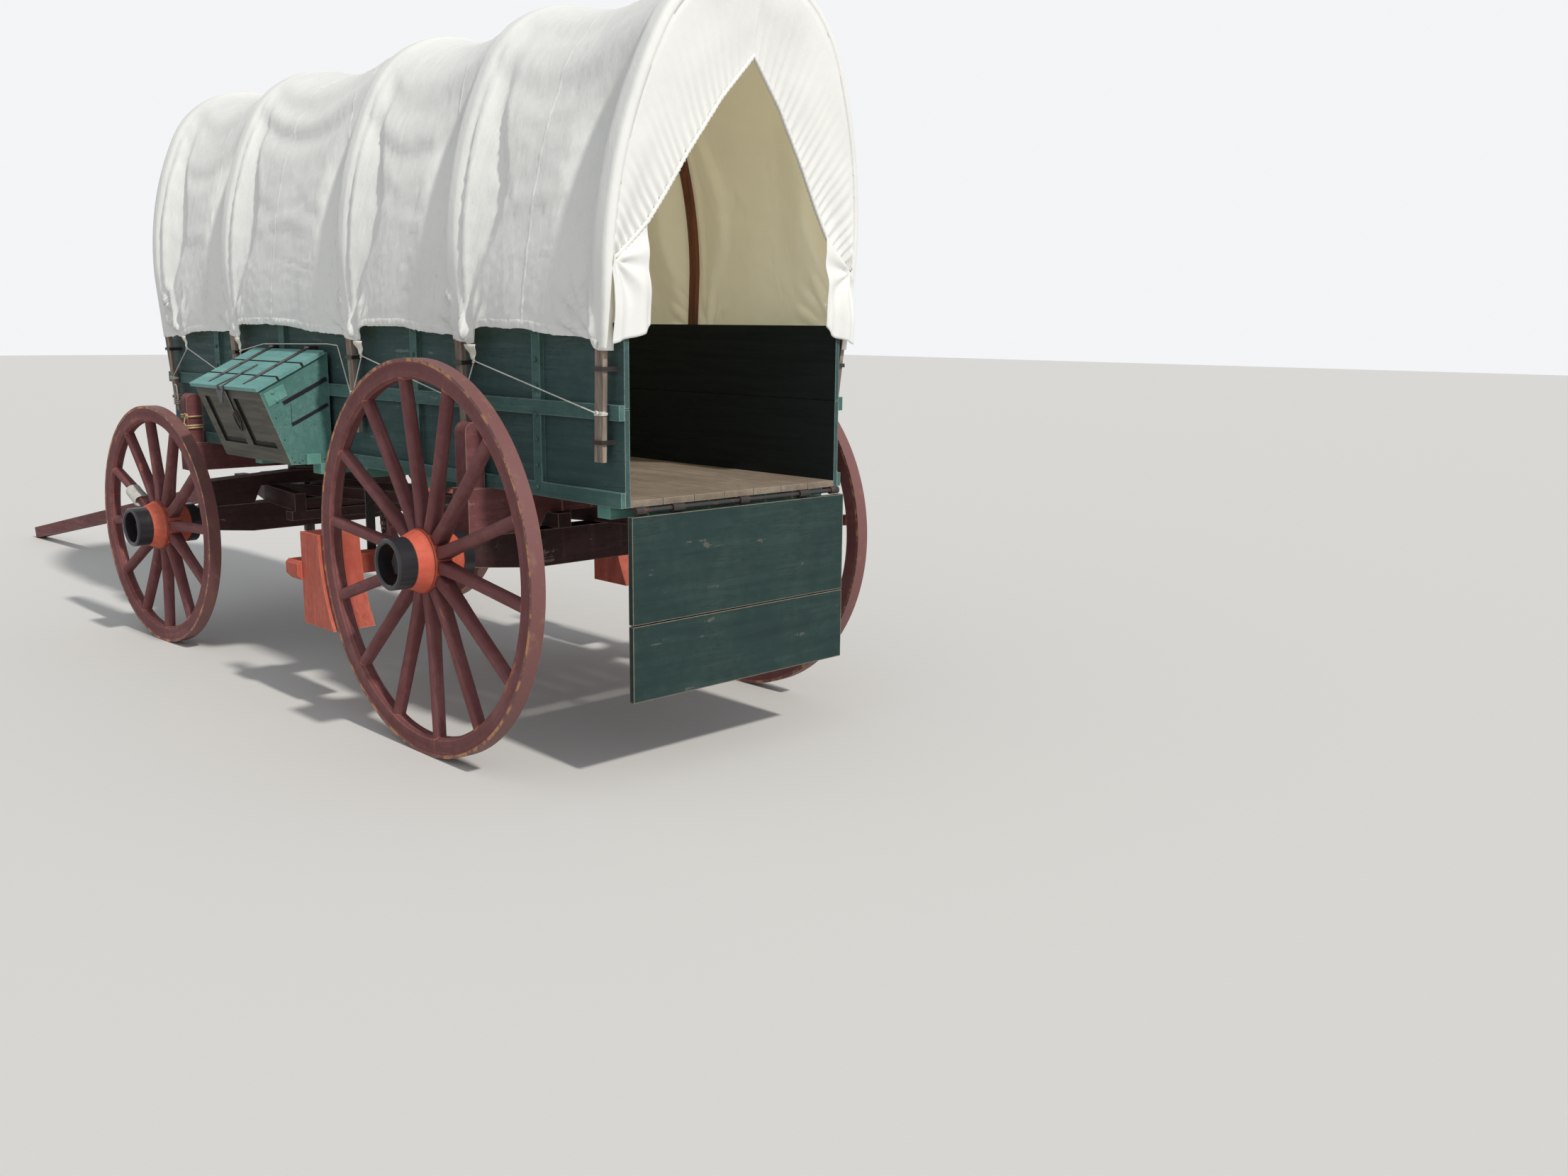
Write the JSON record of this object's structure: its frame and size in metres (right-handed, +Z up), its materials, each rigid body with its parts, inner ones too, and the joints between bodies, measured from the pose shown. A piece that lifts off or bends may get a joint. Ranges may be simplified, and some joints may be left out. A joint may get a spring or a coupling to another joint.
{
  "type": "covered wagon",
  "caption": "Horse-drawn covered wagon: plank box under a canvas cover on wooden bows, spoked wheels, a steered front gear with its tongue, a side toolbox and a tailgate.",
  "frame": {"origin": "on the ground under the middle of the wagon's overall length, from the cover's rear to the tongue's tip", "axes": "+X forward along the wagon, +Y to its left, +Z up"},
  "size_m": [7.2368, 1.8324, 2.6951],
  "materials": {
    "gear_wood": "worn maroon paint",
    "wheel_wood": "worn oxide red paint",
    "hub_wood": "worn orange red paint",
    "tyre_iron": "oxide red paint worn through",
    "black_iron": "old black paint",
    "box_wood": "weathered teal paint",
    "floor_wood": "bare weathered boards",
    "gate_wood": "dark green paint",
    "bow_wood": "oiled ash, grey where it weathers",
    "canvas": "off-white cotton duck"
  },
  "bodies": {
    "wagon": {"floor": "floor_wood", "cross_sills": "box_wood", "side_lower_left": "box_wood", "side_lower_right": "box_wood", "side_upper_left": "box_wood", "side_upper_right": "box_wood", "side_frames": "box_wood", "front_board": "box_wood", "bows": "bow_wood", "bow_staples": "black_iron", "cover": "canvas", "cover_front_end": "canvas", "cover_rear_curtains": "canvas", "tailgate_rod": "black_iron", "toolbox": "box_wood", "toolbox_irons": "black_iron", "front_bolster": "gear_wood", "kingpin": "black_iron", "reach": "gear_wood", "rear_axle": "gear_wood", "rear_axle_arms": "black_iron", "rear_bolster": "gear_wood", "rear_hounds": "gear_wood", "brake_beam": "hub_wood", "brake_irons": "black_iron"},
    "front_gear": {"front_axle": "gear_wood", "front_axle_arms": "black_iron", "sand_board": "gear_wood", "front_hounds": "gear_wood", "tongue_pin": "black_iron"},
    "tongue": {"tongue": "gear_wood"},
    "tailgate": {"tailgate": "gate_wood", "tailgate_straps": "black_iron"},
    "toolbox_lid": {"toolbox_lid": "box_wood", "lid_hinges": "black_iron"},
    "front_left_wheel": {"front_left_hub": "hub_wood", "front_left_hub_bands": "black_iron", "front_left_spokes": "wheel_wood", "front_left_felloes": "wheel_wood", "front_left_tyre": "tyre_iron"},
    "front_right_wheel": {"front_right_hub": "hub_wood", "front_right_hub_bands": "black_iron", "front_right_spokes": "wheel_wood", "front_right_felloes": "wheel_wood", "front_right_tyre": "tyre_iron"},
    "rear_left_wheel": {"rear_left_hub": "hub_wood", "rear_left_hub_bands": "black_iron", "rear_left_spokes": "wheel_wood", "rear_left_felloes": "wheel_wood", "rear_left_tyre": "tyre_iron"},
    "rear_right_wheel": {"rear_right_hub": "hub_wood", "rear_right_hub_bands": "black_iron", "rear_right_spokes": "wheel_wood", "rear_right_felloes": "wheel_wood", "rear_right_tyre": "tyre_iron"}
  },
  "joints": [
    {"name": "steering", "type": "hinge", "parent": "wagon", "child": "front_gear", "pos_m": [-0.21843, 0, 0.797], "axis": [0, 0, 1], "range_deg": [-23, 17]},
    {"name": "tongue_lift", "type": "hinge", "parent": "front_gear", "child": "tongue", "pos_m": [0.28587, 0.02643, 0.682], "axis": [0.0523, -0.9986, 0], "range_deg": [0, 70]},
    {"name": "tailgate_hinge", "type": "hinge", "parent": "wagon", "child": "tailgate", "pos_m": [-3.54343, 0, 0.945], "axis": [0, 1, 0], "range_deg": [0, 180]},
    {"name": "lid_hinge", "type": "hinge", "parent": "wagon", "child": "toolbox_lid", "pos_m": [-1.24843, 0.53347, 1.42926], "axis": [1, 0, 0], "range_deg": [0, 80]},
    {"name": "front_left_spin", "type": "hinge", "parent": "front_gear", "child": "front_left_wheel", "pos_m": [-0.25664, 0.729, 0.57], "axis": [-0.0523, 0.9986, 0], "continuous": true},
    {"name": "front_right_spin", "type": "hinge", "parent": "front_gear", "child": "front_right_wheel", "pos_m": [-0.18023, -0.729, 0.57], "axis": [-0.0523, 0.9986, 0], "continuous": true},
    {"name": "rear_left_spin", "type": "hinge", "parent": "wagon", "child": "rear_left_wheel", "pos_m": [-2.70843, 0.73, 0.71], "axis": [0, 1, 0], "continuous": true},
    {"name": "rear_right_spin", "type": "hinge", "parent": "wagon", "child": "rear_right_wheel", "pos_m": [-2.70843, -0.73, 0.71], "axis": [0, 1, 0], "continuous": true}
  ]
}
